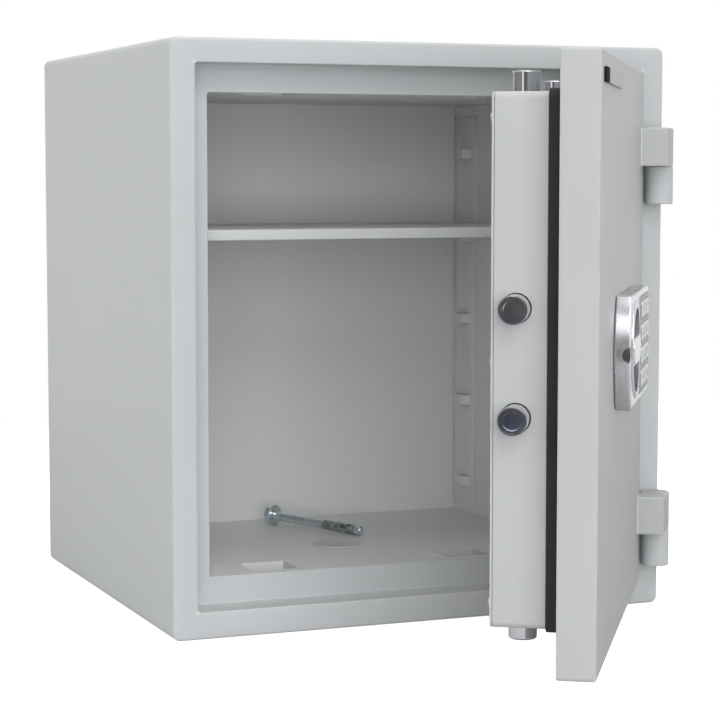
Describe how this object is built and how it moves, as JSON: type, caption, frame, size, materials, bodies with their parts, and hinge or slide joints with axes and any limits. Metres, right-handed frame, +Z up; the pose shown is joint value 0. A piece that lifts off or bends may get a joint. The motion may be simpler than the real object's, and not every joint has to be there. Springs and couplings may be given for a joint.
{
  "type": "fireproof safe",
  "caption": "Insulated steel safe with an inset swing door half open, locking bolts driven by a knob, a keypad lock, a lift-out shelf on tab rails and a loose floor anchor bolt.",
  "frame": {"origin": "centre of the cabinet's underside, on the floor that it stands on", "axes": "+Z up, the cabinet's front faces -Y, +X towards the hinge side; the door is stored 56.6 degrees open"},
  "size_m": [0.598, 1.0178, 0.65],
  "materials": {
    "body_paint": "light grey powder coat, fine texture, satin",
    "inner_paint": "light grey powder coat, satin",
    "door_paint": "light grey powder coat, fine texture, satin",
    "filling": "cast lightweight concrete, matt",
    "seal_rubber": "black foam rubber, matt",
    "bolt_chrome": "hard chrome plated, turned and polished",
    "lock_chrome": "satin chrome plated casting",
    "key_metal": "brushed metal key caps",
    "dark_plastic": "moulded plastic, fine grain",
    "cap_plastic": "moulded grey plastic, matt",
    "zinc_steel": "zinc plated steel, slightly dull"
  },
  "bodies": {
    "cabinet": {"outer_wrap": "body_paint", "back_panel": "body_paint", "front_frame": "body_paint", "inner_floor": "inner_paint", "inner_ceiling": "inner_paint", "inner_wall_free_side": "inner_paint", "inner_wall_hinge_side": "inner_paint", "inner_back_wall": "inner_paint", "body_filling": "filling", "shelf_rail_left_front": "inner_paint", "shelf_rail_left_rear": "inner_paint", "shelf_rail_right_front": "inner_paint", "shelf_rail_right_rear": "inner_paint", "anchor_hole_cap": "cap_plastic", "hinge_barrel_top": "body_paint", "hinge_barrel_bottom": "body_paint", "hinge_pin_top": "zinc_steel", "hinge_pin_bottom": "zinc_steel"},
    "shelf_board": {"shelf": "inner_paint"},
    "anchor_set": {"anchor_bolt": "zinc_steel", "anchor_washer": "zinc_steel", "anchor_sleeve": "zinc_steel", "anchor_crush_ring": "dark_plastic", "anchor_expansion_sleeve": "zinc_steel", "anchor_cone_nut": "zinc_steel"},
    "door": {"hinge_arm_top": "door_paint", "hinge_arm_bottom": "door_paint", "door_front_tray": "door_paint", "door_filling": "filling", "door_back_plate": "door_paint", "bolt_box": "door_paint", "door_seal": "seal_rubber", "bolt_box_cover": "door_paint", "lock_case": "dark_plastic", "lock_housing": "lock_chrome", "keypad": "dark_plastic"},
    "knob_set": {"knob": "lock_chrome", "spindle": "zinc_steel", "drive_disc": "zinc_steel"},
    "side_bolts": {"side_bolt_bar": "zinc_steel", "side_bolt_lower": "bolt_chrome", "side_bolt_upper": "bolt_chrome"},
    "top_bolts": {"top_bolt_bar": "zinc_steel", "top_bolt_free_side": "bolt_chrome", "top_bolt_hinge_side": "bolt_chrome"},
    "bottom_bolts": {"bottom_bolt_bar": "zinc_steel", "bottom_bolt_free_side": "bolt_chrome", "bottom_bolt_hinge_side": "bolt_chrome"},
    "key_1_1": {"key_row1_column1": "key_metal"},
    "key_1_2": {"key_row1_column2": "key_metal"},
    "key_1_3": {"key_row1_column3": "key_metal"},
    "key_2_1": {"key_row2_column1": "key_metal"},
    "key_2_2": {"key_row2_column2": "key_metal"},
    "key_2_3": {"key_row2_column3": "key_metal"},
    "key_3_1": {"key_row3_column1": "key_metal"},
    "key_3_2": {"key_row3_column2": "key_metal"},
    "key_3_3": {"key_row3_column3": "key_metal"},
    "key_4_1": {"key_row4_column1": "key_metal"},
    "key_4_2": {"key_row4_column2": "key_metal"},
    "key_4_3": {"key_row4_column3": "key_metal"}
  },
  "joints": [
    {"name": "door_swing", "type": "hinge", "parent": "cabinet", "child": "door", "pos_m": [0.284, -0.2935, 0.325], "axis": [0, 0, 1], "range_deg": [-56.6, 123.4]},
    {"name": "knob_turn", "type": "hinge", "parent": "door", "child": "knob_set", "pos_m": [0.09145, -0.55463, 0.32685], "axis": [-0.8348, 0.5505, 0], "range_deg": [0, 80]},
    {"name": "side_bolt_slide", "type": "slide", "parent": "door", "child": "side_bolts", "axis": [0.5505, 0.8348, 0], "range_m": [0, 0.028]},
    {"name": "top_bolt_slide", "type": "slide", "parent": "door", "child": "top_bolts", "axis": [0, 0, -1], "range_m": [0, 0.022]},
    {"name": "bottom_bolt_slide", "type": "slide", "parent": "door", "child": "bottom_bolts", "axis": [0, 0, 1], "range_m": [0, 0.022]},
    {"name": "shelf_lift", "type": "slide", "parent": "cabinet", "child": "shelf_board", "axis": [0, 0, 1], "range_m": [0, 0.06]},
    {"name": "anchor_lift", "type": "slide", "parent": "cabinet", "child": "anchor_set", "axis": [0, 0, 1], "range_m": [0, 0.05]},
    {"name": "press_1_1", "type": "slide", "parent": "door", "child": "key_1_1", "axis": [-0.8348, 0.5505, 0], "range_m": [0, 0.0015], "stiffness_N_per_m": 400},
    {"name": "press_1_2", "type": "slide", "parent": "door", "child": "key_1_2", "axis": [-0.8348, 0.5505, 0], "range_m": [0, 0.0015], "stiffness_N_per_m": 400},
    {"name": "press_1_3", "type": "slide", "parent": "door", "child": "key_1_3", "axis": [-0.8348, 0.5505, 0], "range_m": [0, 0.0015], "stiffness_N_per_m": 400},
    {"name": "press_2_1", "type": "slide", "parent": "door", "child": "key_2_1", "axis": [-0.8348, 0.5505, 0], "range_m": [0, 0.0015], "stiffness_N_per_m": 400},
    {"name": "press_2_2", "type": "slide", "parent": "door", "child": "key_2_2", "axis": [-0.8348, 0.5505, 0], "range_m": [0, 0.0015], "stiffness_N_per_m": 400},
    {"name": "press_2_3", "type": "slide", "parent": "door", "child": "key_2_3", "axis": [-0.8348, 0.5505, 0], "range_m": [0, 0.0015], "stiffness_N_per_m": 400},
    {"name": "press_3_1", "type": "slide", "parent": "door", "child": "key_3_1", "axis": [-0.8348, 0.5505, 0], "range_m": [0, 0.0015], "stiffness_N_per_m": 400},
    {"name": "press_3_2", "type": "slide", "parent": "door", "child": "key_3_2", "axis": [-0.8348, 0.5505, 0], "range_m": [0, 0.0015], "stiffness_N_per_m": 400},
    {"name": "press_3_3", "type": "slide", "parent": "door", "child": "key_3_3", "axis": [-0.8348, 0.5505, 0], "range_m": [0, 0.0015], "stiffness_N_per_m": 400},
    {"name": "press_4_1", "type": "slide", "parent": "door", "child": "key_4_1", "axis": [-0.8348, 0.5505, 0], "range_m": [0, 0.0015], "stiffness_N_per_m": 400},
    {"name": "press_4_2", "type": "slide", "parent": "door", "child": "key_4_2", "axis": [-0.8348, 0.5505, 0], "range_m": [0, 0.0015], "stiffness_N_per_m": 400},
    {"name": "press_4_3", "type": "slide", "parent": "door", "child": "key_4_3", "axis": [-0.8348, 0.5505, 0], "range_m": [0, 0.0015], "stiffness_N_per_m": 400}
  ],
  "couplings": [
    {"joint": "side_bolt_slide", "follows": "knob_turn", "m_per_rad": 0.02005},
    {"joint": "top_bolt_slide", "follows": "knob_turn", "m_per_rad": 0.01575},
    {"joint": "bottom_bolt_slide", "follows": "knob_turn", "m_per_rad": 0.01575}
  ]
}
